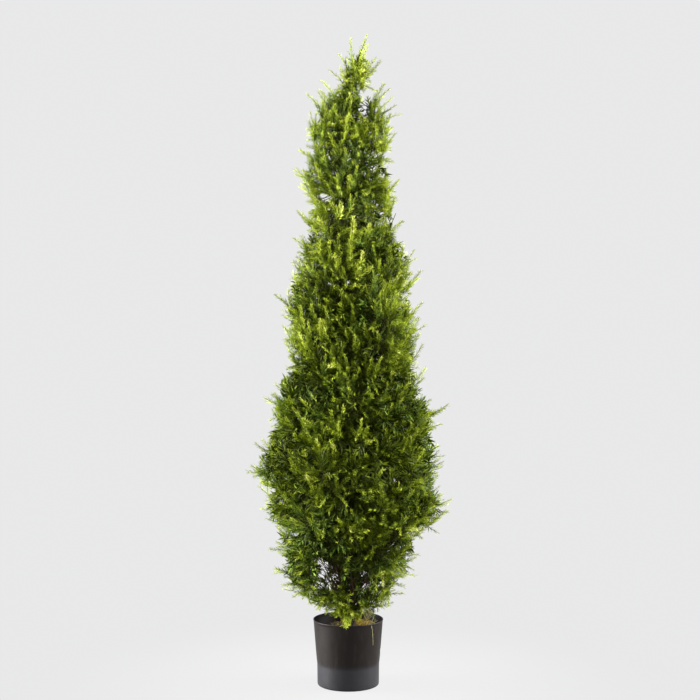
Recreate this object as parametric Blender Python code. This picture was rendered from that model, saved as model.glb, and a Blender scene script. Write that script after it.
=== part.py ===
"""A tall artificial cypress in a thin plastic pot: trunk, boughs and foliage masses as closed solids.

Metres, +Z up. The origin is the centre of the pot's flat underside, and the crown's widest spray points
towards +X. Each mass is star-shaped about its own centre and lies in a convex cell, so no two can meet.
"""

import math
import random
from collections import namedtuple

import bpy
import numpy as np
from mathutils import Matrix, Vector, noise

SEED = 11
GAP = 0.0003  # clearance between neighbouring pieces

# Pot: a thin wall that tapers down to a straight nesting band, on a flat foot with a rounded edge
POT_HEIGHT = 0.182
POT_RIM_RADIUS = 0.0965
POT_BEAD = 0.0007  # the rim's edge stands this far proud of the wall, outside and inside
POT_BEAD_HEIGHT = 0.0030
POT_STEP_RADIUS = 0.0874
POT_BAND_RADIUS = 0.0862
POT_BAND_HEIGHT = 0.062
POT_STEP_HEIGHT = 0.003
POT_FOOT_RADIUS = 0.0856
POT_FOOT_ROUNDING = 0.006
POT_WALL = 0.0022
POT_SEGMENTS = 36
ROUNDING_STEPS = 3

# Potting fill: a weighted plug that fills the pot to just below its rim
FILL_TOP = 0.160
FILL_FALL = 0.004  # its surface is this much lower at the wall than round the trunk
FILL_PAD_RADIUS = 0.022

# Trunk: a slender stem that wavers a little on its way up to the leader
TRUNK_TOP = 1.625
TRUNK_FLARE = 0.0040
TRUNK_FLARE_HEIGHT = 0.030
TRUNK_LOW_RADIUS = 0.0086
TRUNK_TIP_RADIUS = 0.0026
TRUNK_OFFSET = 0.010
TRUNK_WAVER = 0.004
TRUNK_WAVES = (1.6, 1.1)  # how many times it sways sideways and from front to back
TRUNK_SIDES = 12
TRUNK_RINGS = 16
TRUNK_RING_SPREAD = 1.25  # over 1, the rings lie closer together at the root flare

# Crown outline, from the lowest spray to the top: height, left reach and right reach
OUTLINE = (
    (0.190, -0.060, 0.090),
    (0.250, -0.140, 0.125),
    (0.330, -0.200, 0.180),
    (0.440, -0.216, 0.208),
    (0.495, -0.240, 0.292),
    (0.600, -0.280, 0.270),
    (0.720, -0.238, 0.266),
    (0.870, -0.192, 0.218),
    (1.030, -0.190, 0.212),
    (1.130, -0.170, 0.200),
    (1.270, -0.142, 0.156),
    (1.420, -0.140, 0.140),
    (1.560, -0.124, 0.132),
    (1.660, -0.096, 0.108),
    (1.730, -0.036, 0.090),
    (1.805, 0.040, 0.054),
)
DEPTH_RIPPLE = 0.07  # how much the reach varies towards the crown's front and back
DEPTH_LOBES = 3
DEPTH_TWIST = 9  # radians a metre by which those lobes turn on the way up

# Tiers of boughs, from the lowest: height at the trunk, height of the tips, half-width of a mass, azimuths
TIERS = (
    (0.212, 0.315, 0.095, (-28, 25, 154, 207)),
    (0.300, 0.490, 0.135, (0, 54, 126, 180, 234, 306)),
    (0.430, 0.640, 0.140, (182, 253, 322, 38, 110)),
    (0.600, 0.840, 0.145, (5, 96, 186, 277)),
    (0.790, 1.070, 0.145, (180, 300, 60)),
    (0.990, 1.340, 0.130, (0, 122, 240)),
    (1.210, 1.668, 0.110, (200, 338, 86)),
)
TIP_JITTER = 0.018
LEADER_TIP = (0.047, 0.0, 1.800)
LEADER_WIDTH = 0.070
LEADER_CENTRE_SHARE = 0.5

# Masses
CENTRE_SHARE = 0.58  # a mass is centred this far along the way from trunk to tip
BARE_LENGTH = 0.050  # the first stretch of that way is bare limb
LIFT_STRETCH = 1.15  # a mass is this much deeper along its upward side than it is wide
TIP_POWER = 1.45  # under 2, an ellipse is drawn out to a point
BACK_POWER = 2.0
CELL_SQUASH = 0.55  # heights count this much when space is shared out between masses
CELL_INSET = 0.002
TRUNK_CLEARANCE = 0.017
BOUGH_CLEARANCE = 0.009
POT_CLEARANCE = 0.006
UNEVEN = 0.34
UNEVEN_SCALE = 2.8
UNEVEN_RANGE = 50.0  # how far apart in the noise two masses may be taken from
TUFT_DEPTH = 0.09  # two corners in three lie this much further in than the tufts between them
LEAST_RADIUS = 0.012
MASS_SECTORS = 12
RING_ANGLES = (9, 21, 36, 54, 75, 98, 122, 147)  # degrees from the tip
SOCKET_ANGLE = 170  # the ring round the flat face that the bough meets

# Boughs
BOUGH_ROOT_RADIUS = 0.0036
BOUGH_END_RADIUS = 0.0022
BOUGH_SIDES = 6
BOUGH_RINGS = 4
BOUGH_BOW = 0.45

Lobe = namedtuple("Lobe", "name root tip centre width")


def clear_scene():
    for obj in list(bpy.data.objects):
        bpy.data.objects.remove(obj, do_unlink=True)


def material(name, colour, roughness):
    made = bpy.data.materials.new(name)
    made.use_nodes = True
    shader = made.node_tree.nodes["Principled BSDF"]
    shader.inputs["Base Color"].default_value = (*colour, 1.0)
    shader.inputs["Roughness"].default_value = roughness
    made.diffuse_color = (*colour, 1.0)
    return made


def add_object(name, points, faces, finish, parent, smooth_angle=40):
    mesh = bpy.data.meshes.new(name)
    mesh.from_pydata(points, [], faces)
    mesh.validate()
    mesh.shade_smooth()
    mesh.set_sharp_from_angle(angle=math.radians(smooth_angle))
    mesh.materials.append(finish)
    obj = bpy.data.objects.new(name, mesh)
    bpy.context.collection.objects.link(obj)
    obj.parent = parent
    return obj


def ring_faces(rings):
    """Side faces between rings of point numbers that run anticlockwise seen from the last ring's end."""
    faces = []
    for below, above in zip(rings, rings[1:]):
        count = len(below)
        for i in range(count):
            j = (i + 1) % count
            faces.append((below[i], below[j], above[j], above[i]))
    return faces


def fan_faces(pole, ring):
    """Faces from a pole to a ring that runs anticlockwise seen from the pole."""
    return [(pole, ring[i], ring[(i + 1) % len(ring)]) for i in range(len(ring))]


def turned(name, profile, segments, finish, parent):
    """A turned solid. The profile of (radius, height) starts and ends on the axis, inner surface first."""
    points = [Vector((0, 0, profile[0][1]))]
    rings = []
    for radius, height in profile[1:-1]:
        rings.append(range(len(points), len(points) + segments))
        for i in range(segments):
            angle = 2 * math.pi * i / segments
            points.append(Vector((radius * math.cos(angle), radius * math.sin(angle), height)))
    points.append(Vector((0, 0, profile[-1][1])))
    faces = [face[::-1] for face in ring_faces(rings)]
    faces += fan_faces(0, list(rings[0]))
    faces += fan_faces(len(points) - 1, list(rings[-1])[::-1])
    return add_object(name, points, faces, finish, parent)


# Pot and fill


def pot_wall_radius(height):
    """Outer radius of the pot's wall above its rounded foot."""
    heights = (POT_FOOT_ROUNDING, POT_BAND_HEIGHT, POT_BAND_HEIGHT + POT_STEP_HEIGHT, POT_HEIGHT)
    radii = (POT_FOOT_RADIUS, POT_BAND_RADIUS, POT_STEP_RADIUS, POT_RIM_RADIUS)
    return float(np.interp(height, heights, radii))


def foot_rounding(radius, height, reach):
    """Points of a quarter circle that turns from the upright wall into the flat foot."""
    turns = [0.5 * math.pi * i / ROUNDING_STEPS for i in range(ROUNDING_STEPS + 1)]
    return [
        (radius - reach + reach * math.cos(turn), height + reach - reach * math.sin(turn))
        for turn in turns
    ]


def build_pot(finish, parent):
    step_top = POT_BAND_HEIGHT + POT_STEP_HEIGHT
    bead_foot = POT_HEIGHT - POT_BEAD_HEIGHT
    inner_reach = POT_FOOT_ROUNDING - POT_WALL
    inside = foot_rounding(POT_FOOT_RADIUS - POT_WALL, POT_WALL, inner_reach)[::-1]
    inside += [
        (pot_wall_radius(height) - POT_WALL, height)
        for height in (POT_BAND_HEIGHT, step_top, bead_foot)
    ]
    rim = [
        (POT_RIM_RADIUS - POT_WALL - POT_BEAD, POT_HEIGHT - POT_BEAD),
        (POT_RIM_RADIUS - POT_WALL, POT_HEIGHT),
        (POT_RIM_RADIUS, POT_HEIGHT),
        (POT_RIM_RADIUS + POT_BEAD, POT_HEIGHT - POT_BEAD),
    ]
    outside = [
        (pot_wall_radius(height), height) for height in (bead_foot, step_top, POT_BAND_HEIGHT)
    ]
    outside += foot_rounding(POT_FOOT_RADIUS, 0.0, POT_FOOT_ROUNDING)
    profile = [(0.0, POT_WALL), *inside, *rim, *outside, (0.0, 0.0)]
    return turned("pot", profile, POT_SEGMENTS, finish, parent)


def build_fill(finish, parent):
    edge_height = FILL_TOP - FILL_FALL
    inset = POT_WALL + GAP
    upright = [
        (pot_wall_radius(height) - inset, height)
        for height in (edge_height, POT_BAND_HEIGHT + POT_STEP_HEIGHT, POT_BAND_HEIGHT)
    ]
    foot = foot_rounding(POT_FOOT_RADIUS - inset, inset, POT_FOOT_ROUNDING - POT_WALL)
    profile = [(0.0, FILL_TOP), (FILL_PAD_RADIUS, FILL_TOP), *upright, *foot, (0.0, inset)]
    return turned("potting_fill", profile, POT_SEGMENTS, finish, parent)


# Trunk and limbs


def trunk_share(height):
    return (height - FILL_TOP) / (TRUNK_TOP - FILL_TOP)


def trunk_axis(height):
    sway_x, sway_y = (
        TRUNK_WAVER * math.sin(2 * math.pi * waves * trunk_share(height)) for waves in TRUNK_WAVES
    )
    return Vector((TRUNK_OFFSET + sway_x, sway_y, height))


def trunk_radius(height):
    taper = TRUNK_TIP_RADIUS + (TRUNK_LOW_RADIUS - TRUNK_TIP_RADIUS) * (1 - trunk_share(height))
    return taper + TRUNK_FLARE * math.exp((FILL_TOP - height) / TRUNK_FLARE_HEIGHT)


def limb(name, path, radii, normals, sides, finish, parent):
    """A tapering limb through the path's points, each cut square to its normal."""
    points = []
    rings = []
    for place, radius, normal in zip(path, radii, normals):
        side = normal.cross(Vector((0, 1, 0))).normalized()
        other = normal.cross(side)
        rings.append(list(range(len(points), len(points) + sides)))
        for i in range(sides):
            angle = 2 * math.pi * i / sides
            points.append(place + radius * (side * math.cos(angle) + other * math.sin(angle)))
    faces = ring_faces(rings)
    faces.append(rings[0][::-1])
    faces.append(rings[-1])
    return add_object(name, points, faces, finish, parent)


def build_trunk(leader, finish, parent):
    foot = FILL_TOP + GAP
    spread = [(i / (TRUNK_RINGS - 1)) ** TRUNK_RING_SPREAD for i in range(TRUNK_RINGS)]
    heights = [foot + share * (TRUNK_TOP - foot) for share in spread]
    centres = [trunk_axis(height) for height in heights]
    normals = [Vector((0, 0, 1))] * (TRUNK_RINGS - 1) + [leader_axis(leader)]
    start = centres[0].copy()
    path = [centre - start for centre in centres]
    radii = [trunk_radius(height) for height in heights]
    trunk = limb("trunk", path, radii, normals, TRUNK_SIDES, finish, parent)
    trunk.location = start
    return trunk


def leader_axis(leader):
    return (leader.tip - leader.root).normalized()


# Crown


def outline_reach(height):
    """Centre line and half-width of the crown at a height."""
    heights, lefts, rights = zip(*OUTLINE)
    left = float(np.interp(height, heights, lefts))
    right = float(np.interp(height, heights, rights))
    return (left + right) / 2, (right - left) / 2


def depth_factor(azimuth, height):
    ripple = math.sin(DEPTH_LOBES * azimuth + DEPTH_TWIST * height)
    return 1 + DEPTH_RIPPLE * math.sin(azimuth) ** 2 * ripple


def outside_crown(point):
    if not OUTLINE[0][0] <= point.z <= OUTLINE[-1][0]:
        return True
    centre, half = outline_reach(point.z)
    azimuth = math.atan2(point.y, point.x - centre)
    return math.hypot(point.x - centre, point.y) > half * depth_factor(azimuth, point.z)


def crown_limit(start, direction, step=0.006, halvings=8):
    """Distance from a point inside the crown to its outline."""
    far = step
    while not outside_crown(start + direction * far):
        far += step
    near = far - step
    for _ in range(halvings):
        middle = (near + far) / 2
        if outside_crown(start + direction * middle):
            far = middle
        else:
            near = middle
    return near


def crown_lobes():
    """One lobe for each bough, tier by tier, and the leader on the trunk's tip."""
    dice = random.Random(SEED)
    lobes = []
    for root_height, tip_height, width, azimuths in TIERS:
        for degrees in azimuths:
            tip_z = tip_height + dice.uniform(-TIP_JITTER, TIP_JITTER)
            centre_line, half = outline_reach(tip_z)
            azimuth = math.radians(degrees)
            reach = half * depth_factor(azimuth, tip_z)
            tip = Vector((centre_line + reach * math.cos(azimuth), reach * math.sin(azimuth), tip_z))
            root = trunk_axis(root_height + dice.uniform(-TIP_JITTER, TIP_JITTER))
            centre = root.lerp(tip, CENTRE_SHARE)
            lobes.append(Lobe(f"{len(lobes) + 1:02d}", root, tip, centre, width))
    top = trunk_axis(TRUNK_TOP)
    tip = Vector(LEADER_TIP)
    lobes.append(Lobe("leader", top, tip, top.lerp(tip, LEADER_CENTRE_SHARE), LEADER_WIDTH))
    return lobes


def nearest_on_limb(lobe, point):
    way = lobe.centre - lobe.root
    share = (point - lobe.root).dot(way) / way.length_squared
    return lobe.root + way * min(max(share, 0.0), 1.0)


def cell_planes(lobe, lobes):
    """The half-spaces (normal, distance) that hold a mass clear of other masses, boughs and the trunk."""
    squash = Vector((1, 1, CELL_SQUASH))
    own = lobe.centre * squash
    planes = [(Vector((0, 0, -1)), -(POT_HEIGHT + POT_CLEARANCE))]
    for other in lobes:
        if other is lobe:
            continue
        theirs = other.centre * squash
        normal = (theirs - own) * squash
        middle = (theirs.length_squared - own.length_squared) / 2
        planes.append((normal / normal.length, middle / normal.length - CELL_INSET))
        if other.name != "leader":
            nearest = nearest_on_limb(other, lobe.centre)
            away = (nearest - lobe.centre).normalized()
            planes.append((away, away.dot(nearest) - BOUGH_CLEARANCE))
    if lobe.name != "leader":
        axis = trunk_axis(lobe.centre.z)
        inward = Vector((axis.x - lobe.centre.x, axis.y - lobe.centre.y, 0)).normalized()
        planes.append((inward, inward.dot(axis) - TRUNK_CLEARANCE))
    return planes


def cell_limit(start, direction, planes):
    """Distance from a mass's centre to the first plane that the direction meets."""
    limits = [
        (distance - normal.dot(start)) / normal.dot(direction)
        for normal, distance in planes
        if normal.dot(direction) > 0
    ]
    return min(limits, default=math.inf)


def lobe_frame(lobe):
    """Rotation that turns +Z to the lobe's axis and +X to its upward side."""
    forward = (lobe.tip - lobe.root).normalized()
    side = forward.cross(Vector((0, 0, 1))).normalized()
    upward = side.cross(forward)
    return Matrix((upward, side, forward)).transposed()


def lobe_radius(lobe, polar, turn):
    """Radius of the smooth lobe at an angle from its axis, pointed at the tip and round behind."""
    ahead = math.cos(polar) > 0
    length = (lobe.tip - lobe.centre).length
    if not ahead:
        bare = 0.0 if lobe.name == "leader" else BARE_LENGTH
        length = (lobe.centre - lobe.root).length - bare
    width = lobe.width * math.hypot(LIFT_STRETCH * math.cos(turn), math.sin(turn))
    power = TIP_POWER if ahead else BACK_POWER
    along = abs(math.cos(polar)) / length
    across = math.sin(polar) / width
    return (along**power + across**power) ** (-1 / power)


def mass_points(lobe, lobes, dice):
    """Local points of a mass: the tip, then its rings, then the flat socket's ring and middle."""
    planes = cell_planes(lobe, lobes)
    frame = lobe_frame(lobe)
    offset = Vector([dice.uniform(-UNEVEN_RANGE, UNEVEN_RANGE) for _ in range(3)])

    def reach(polar, turn, uneven=True, draw_in=0.0):
        local = Vector(
            (math.sin(polar) * math.cos(turn), math.sin(polar) * math.sin(turn), math.cos(polar))
        )
        direction = frame @ local
        radius = lobe_radius(lobe, polar, turn)
        if uneven:
            radius *= 1 + UNEVEN * noise.noise(local * UNEVEN_SCALE + offset)
        limit = min(crown_limit(lobe.centre, direction), cell_limit(lobe.centre, direction, planes))
        return local, max(min(radius, limit) * (1 - draw_in), LEAST_RADIUS)

    local, radius = reach(0.0, 0.0, uneven=False)
    points = [local * radius]
    for ring, degrees in enumerate(RING_ANGLES):
        for sector in range(MASS_SECTORS):
            turn = 2 * math.pi * (sector + 0.5 * (ring % 2)) / MASS_SECTORS
            tuft = (sector + 2 * ring + (ring + 1) // 2) % 3 == 0
            local, radius = reach(math.radians(degrees), turn, draw_in=0.0 if tuft else TUFT_DEPTH)
            points.append(local * radius)
    socket_polar = math.radians(SOCKET_ANGLE)
    shift = 0.5 * (len(RING_ANGLES) % 2)
    turns = [2 * math.pi * (sector + shift) / MASS_SECTORS for sector in range(MASS_SECTORS)]
    corners = [reach(socket_polar, turn, uneven=False) for turn in turns]
    depth = min(-local.z * radius for local, radius in corners)
    if lobe.name == "leader":
        depth = (lobe.centre - lobe.root).length - GAP
    points += [local * (depth / -local.z) for local, _ in corners]
    points.append(Vector((0, 0, -depth)))
    return points, depth


def mass_faces():
    """Triangles between rings whose points lie half a step apart."""
    count = MASS_SECTORS
    rings = [
        list(range(1 + ring * count, 1 + (ring + 1) * count)) for ring in range(len(RING_ANGLES) + 1)
    ]
    faces = fan_faces(0, rings[0])
    for number, (above, below) in enumerate(zip(rings, rings[1:])):
        for i in range(count):
            j = (i + 1) % count
            if number % 2 == 0:
                faces += [(above[i], below[i], above[j]), (above[j], below[i], below[j])]
            else:
                faces += [(above[i], below[i], below[j]), (above[i], below[j], above[j])]
    last = 1 + (len(RING_ANGLES) + 1) * count
    faces += fan_faces(last, rings[-1][::-1])
    return faces


def build_crown(lobes, bough_finish, mass_finishes, parent):
    dice = random.Random(SEED + 1)
    faces = mass_faces()
    for number, lobe in enumerate(lobes):
        points, depth = mass_points(lobe, lobes, dice)
        finish = mass_finishes[number % len(mass_finishes)]
        mass = add_object(f"mass_{lobe.name}", points, faces, finish, parent, smooth_angle=60)
        mass.location = lobe.centre
        mass.rotation_mode = "QUATERNION"
        mass.rotation_quaternion = lobe_frame(lobe).to_quaternion()
        if lobe.name != "leader":
            build_bough(lobe, depth, bough_finish, parent)


def build_bough(lobe, depth, finish, parent):
    """A bough from the trunk's bark to the flat socket of its mass, in the upright plane of its azimuth."""
    axis = (lobe.tip - lobe.root).normalized()
    level = Vector((axis.x, axis.y, 0)).normalized()
    start = lobe.root + level * (trunk_radius(lobe.root.z) + GAP)
    end = lobe.centre - axis * (depth + GAP) - start
    run = Vector((math.hypot(end.x, end.y), 0, end.z))
    heading = Vector((math.hypot(axis.x, axis.y), 0, axis.z))
    bend = run - heading * (BOUGH_BOW * run.length)
    path = []
    normals = []
    radii = []
    for i in range(BOUGH_RINGS):
        share = i / (BOUGH_RINGS - 1)
        path.append(bend * (2 * share * (1 - share)) + run * share**2)
        normals.append((bend * (1 - share) + (run - bend) * share).normalized())
        radii.append(BOUGH_ROOT_RADIUS + (BOUGH_END_RADIUS - BOUGH_ROOT_RADIUS) * share)
    normals[0] = Vector((1, 0, 0))
    normals[-1] = heading
    bough = limb(f"bough_{lobe.name}", path, radii, normals, BOUGH_SIDES, finish, parent)
    bough.location = start
    bough.rotation_euler = (0, 0, math.atan2(level.y, level.x))
    return bough


def main():
    clear_scene()
    tree = bpy.data.objects.new("cypress", None)
    bpy.context.collection.objects.link(tree)
    lobes = crown_lobes()
    build_pot(material("pot_plastic", (0.022, 0.021, 0.021), 0.38), tree)
    build_fill(material("potting_fill", (0.030, 0.024, 0.018), 0.9), tree)
    build_trunk(lobes[-1], material("trunk_bark", (0.045, 0.035, 0.028), 0.75), tree)
    greens = (
        material("foliage_deep", (0.045, 0.085, 0.012), 0.6),
        material("foliage_mid", (0.110, 0.190, 0.018), 0.6),
        material("foliage_lime", (0.260, 0.380, 0.030), 0.6),
        material("foliage_tip", (0.430, 0.520, 0.080), 0.6),
    )
    build_crown(lobes, material("bough_bark", (0.075, 0.045, 0.028), 0.7), greens, tree)
    bpy.context.view_layer.update()


main()
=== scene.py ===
"""Looks of a tall artificial cypress in a thin black pot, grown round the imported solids.

Metres, +Z up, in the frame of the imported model. Every mass is filled by a limb that goes on from its bough,
twigs that reach from the limb to the crown's outline, and feathery plumes along the twigs.
"""

import math
import random
from collections import namedtuple
from itertools import product

import bpy
import numpy as np
from mathutils import Matrix, Vector, noise
from mathutils.bvhtree import BVHTree
from mathutils.kdtree import KDTree


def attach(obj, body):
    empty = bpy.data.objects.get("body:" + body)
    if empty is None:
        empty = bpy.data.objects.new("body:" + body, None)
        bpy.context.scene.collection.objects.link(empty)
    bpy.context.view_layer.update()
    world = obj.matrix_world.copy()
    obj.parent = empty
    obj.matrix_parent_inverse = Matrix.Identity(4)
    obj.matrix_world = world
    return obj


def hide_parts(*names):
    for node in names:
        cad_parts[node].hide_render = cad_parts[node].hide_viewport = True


def metres(value):
    """A number of millimetres or a table of them, in metres."""
    return tuple(metres(one) for one in value) if isinstance(value, tuple) else value / 1000


SEED = 23
UP = Vector((0, 0, 1))

# Camera and room
CAMERA_PLACE = (0.005, -3.43, 0.93)
CAMERA_LENS = 63.3
ROOM_COLOUR = (1, 1, 1.005, 1)
WALL_GREY = 0.81  # the plain wall as the camera sees it
ROOM_LIGHT = 0.46  # the light that it gives
FLOOR_RADIUS = 3.2
FLOOR_SIDES = 96
FLOOR_FADE = (0.1, 0.9)  # distances between which the floor passes into the wall
FLOOR_GREY = 0.016
FLOOR_GLOW = 0.807
SOFTBOXES = (  # name, place, what it faces, width and height, watts
    ("softbox_left", (-2.3, 0.02, 1.2), (0, 0, 0.9), (1.3, 2.6), 430),
    ("softbox_right", (2.3, 0.08, 1.8), (0, 0, 1.0), (2.4, 2.4), 450),
    ("softbox_front", (-0.8, -2.8, 2.8), (0, 0, 0.9), (1.6, 1.6), 20),
)

# Crown outline, from the lowest spray to the top: height, left reach and right reach in millimetres
OUTLINE = metres((
    (190, -50, 60), (220, -107, 130), (262, -169, 144), (318, -200, 182), (373, -208, 196),
    (429, -210, 207), (485, -242, 285), (541, -233, 265), (596, -275, 265), (652, -260, 258),
    (708, -225, 251), (763, -222, 254), (819, -221, 221), (875, -182, 196), (931, -174, 214),
    (986, -182, 203), (1042, -182, 200), (1098, -183, 175), (1154, -153, 189), (1209, -149, 175),
    (1265, -135, 140), (1321, -121, 136), (1376, -114, 136), (1432, -139, 132), (1488, -126, 111),
    (1544, -122, 129), (1599, -110, 127), (1640, -75, 85), (1662, -30, 40), (1700, -26, 46),
    (1740, -20, 62), (1770, 12, 56), (1790, 36, 52),
))
DEPTH_RIPPLE = 0.08  # how much the crown's reach varies towards its front and back
DEPTH_LOBES = 3
DEPTH_TWIST = 9.0  # radians a metre by which those lobes turn on the way up
CROWN_AXIS = 0.01  # its own axis is this far to the right of the pot's

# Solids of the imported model
BOUGH_NAMES = [f"{number:02d}" for number in range(1, 29)]
MASS_NAMES = [*BOUGH_NAMES, "leader"]
BOUGH_RINGS = 4
TRUNK_RINGS = 16

# Greens from the darkest to the palest and then the cooler ones, each with its slot
SHADES = (
    ("deep", (0.03, 0.043, 0.002)),
    ("deep", (0.066, 0.092, 0.003)),
    ("mid", (0.118, 0.165, 0.007)),
    ("mid", (0.208, 0.275, 0.013)),
    ("lime", (0.33, 0.392, 0.024)),
    ("lime", (0.435, 0.49, 0.06)),
    ("tip", (0.545, 0.59, 0.13)),
    ("deep", (0.056, 0.093, 0.009)),
    ("mid", (0.108, 0.17, 0.018)),
    ("mid", (0.205, 0.288, 0.036)),
)
WARM_SHADES = 7
FIRST_COOL = 1  # in some plumes the cooler greens take the place of this one and the next ones
COOL_SCALE = 7.0  # fineness of the patches of such plumes
COOL_SHIFT = Vector((3, 1, 8))
COOL_GRAIN = 0.1  # raggedness of their edges
COOL_ABOVE = 0.22  # they are smaller where this is higher
TRIANGLE_LIMIT = 190_000  # in one piece of leaves

# What makes up the number of a leaf's green, with painted shade of the crown's inside among it
TIP_TONE = 2.92  # at the foot of a plume on the outline
PAINTED_DEPTH_SHADE = 3.2  # painted shade: steps of green by which the crown's inside is darker
DEEPEST = 0.085  # from this depth on it is darker by all of them
DEPTH_POWER = 0.6  # below 1, most of the change lies close to the outline
PLACE_TONE = 2.1  # shades between a plume's foot and its tip
INNER_SHARE = 0.4  # how much of that an inner plume takes
INNER_SHADED_TONE = (-1.3, 0.4)  # mean and spread of the inner plumes' tone; its low mean is painted shade of the crown's inside
SHADE_GRAIN = 0.35  # spread from leaf to leaf
PLUME_GRAIN = 0.6
SPRAY_GRAIN = 0.35
TUFT_GRAIN = 0.3
PATCH_TONE = 0.9  # shades by which patches of the crown differ
PATCH_SCALE = 11
TIP_SPRAY_TONE = -0.5
FOOT_SPRAY_TONE = -0.3

# Other colours, the darker one first
DRY_COLOUR = (0.42, 0.37, 0.16)
MOSS_COLOUR = (0.19, 0.125, 0.014)
TWIG_COLOUR = (0.03, 0.032, 0.006)
STALK_COLOUR = (0.075, 0.04, 0.022)
TRUNK_COLOURS = ((0.014, 0.01, 0.007), (0.05, 0.038, 0.026))
BOUGH_COLOURS = ((0.016, 0.012, 0.007), (0.06, 0.048, 0.026))
FILL_COLOURS = ((0.006, 0.005, 0.004), (0.026, 0.019, 0.012))
POT_COLOURS = ((0.0086, 0.0065, 0.0056), (0.015, 0.0125, 0.011))
# The pot's band is paler and bluish grey: a painted reflection of the pale floor
BAND_FLOOR_REFLECTION_COLOURS = ((0.016, 0.0155, 0.0178), (0.0205, 0.0198, 0.022))
FLOOR_REFLECTION_EDGE = (0.052, 0.072)  # heights between which the painted reflection of the floor on the pot's band passes into its wall
BARK_HIGHLIGHT = 1.7  # the palest flakes against the paler colour of the bark

# Plumes: a thin stem set closely with leaves. The inner ones are coarser and hide the trunk.
PLUME_SIZES = (0.036, 0.05, 0.066, 0.086)
PLUME_KINDS = 8
OUTER_PLUME = (0.00112, 0.0148, 0.0019, 3)  # spacing, length and width of the leaves, and rings of the stem
INNER_PLUME = (0.004, 0.027, 0.0064, 2)
PLUME_BARE = 0.06  # share of the stem that has no leaves
PLUME_LEAN = (0.2, 0.22)  # lean of its tip in the fan's plane and out of it, for its length
STEM_RADIUS = 0.0009
STEM_SIDES = 3
LEAF_SHOULDER = 0.4  # share of the length at which a leaf is widest
LEAF_FOLD = 0.3
LEAF_FACES = np.array([(0, 1, 3), (0, 3, 2)])
LEAF_RANKS = (0, 180, 0, 180, 90, 0, 180, 270)  # degrees round the stem for each leaf in turn
LEAF_RANK_SPREAD = 34
LEAF_OPENING = (45, 13, 11)  # angle to the stem, how much less it is at the tip, and spread
LEAF_ROLL = 60

# Growth of the sprays
RISE = ((0.2, 4), (0.35, 20), (0.6, 38), (1.0, 56), (1.4, 66), (1.7, 76))  # degrees above level by height
RISE_SPREAD = (-8, 20)
AZIMUTH_SPREAD = 22
TARGET_SPACING = 0.038  # between the places on the outline that sprays grow to
TARGET_TRIES = 14
SLOPE_STEP = 0.03
OUTLINE_INSET = 0.004  # only the named tips pass the outline
DEEPEST_INSET = 0.04  # how much further inside a spray's tip may end
OUTLINE_LENGTHS = (0.045, 0.075)  # bounds for the plume that ends a spray
TIP_LENGTHS = (0.06, 0.08)  # for the named tips
TUFT_LENGTHS = (0.045, 0.065)  # for the sprays beside them
FOOT_LENGTHS = (0.04, 0.055)
TUFT_INSET = (0.01, 0.026)  # how far behind a tip such a spray ends
TUFT_SPREAD = 0.01
TUFTS_BELOW = 1.6  # higher tips have none
FAN_WEIGHTS = (0.25, 0.3, 0.7)  # of what the fan's normal is made of: outwards, upwards and at random
LIMB_STEPS = 16
LIMB_RADIUS = 0.0022
TWIG_STEPS = 6
TWIG_RADIUS = 0.0013

# Side plumes along the end of a twig
PLUME_SPACING = 0.0082
SPRAY_LENGTH = 0.08  # the stretch of a twig that carries them
SIDE_RANKS = ((1, 0), (-1, 0), (1, 0.3), (-1, 0.3), (0, 1), (0, -0.6))  # across the fan, and out of it
SIDE_OPENING = (22, 44)
SIDE_GROWTH = 0.65  # how much they turn to the way in which everything grows
SIDE_LENGTHS = (0.036, 0.082)
SIDE_LEAST = 0.024  # there is none where less than this fits
SIDE_INSET = (0.002, 0.03)  # how far inside the outline they end
TIP_DEPTH = 0.014  # those that start nearer to the outline than this are shorter instead
TIP_SHORTER = 0.58

# Inner plumes that fill the crown
CROWN_BOX = ((-0.28, -0.27, 0.2), (0.28, 0.27, 1.66))
CELL = 0.0193  # size of the cells that are to be filled
CELL_TRIES = 6
FILLED_SHARES = (0.35, 0.65, 0.95)  # places along a plume whose cells it fills
INNER_DEPTH = 0.036  # they aim at places at least this far inside the outline
INNER_MARGIN = 0.024  # and end this far inside it
INNER_AWAY = (0.025, 0.11)  # distance of such a place from the nearest twig
INNER_LENGTHS = (0.04, 0.105)
INNER_LEAST = 0.03
INNER_GROWTH = 0.35

# Bare stalks at the foot of the trunk
FOOT_STALKS = 80
STALK_FEET = (0.178, 0.33)
STALK_RISE = (32, 62)
STALK_LENGTHS = (0.08, 0.17)
STALK_STEPS = 7
STALK_RADIUS = 0.0017
STALK_TAPER = 0.00012  # for each step
FORK_LENGTHS = (0.03, 0.06)
FORK_RADII = (0.001, 0.0009, 0.0005)

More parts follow.
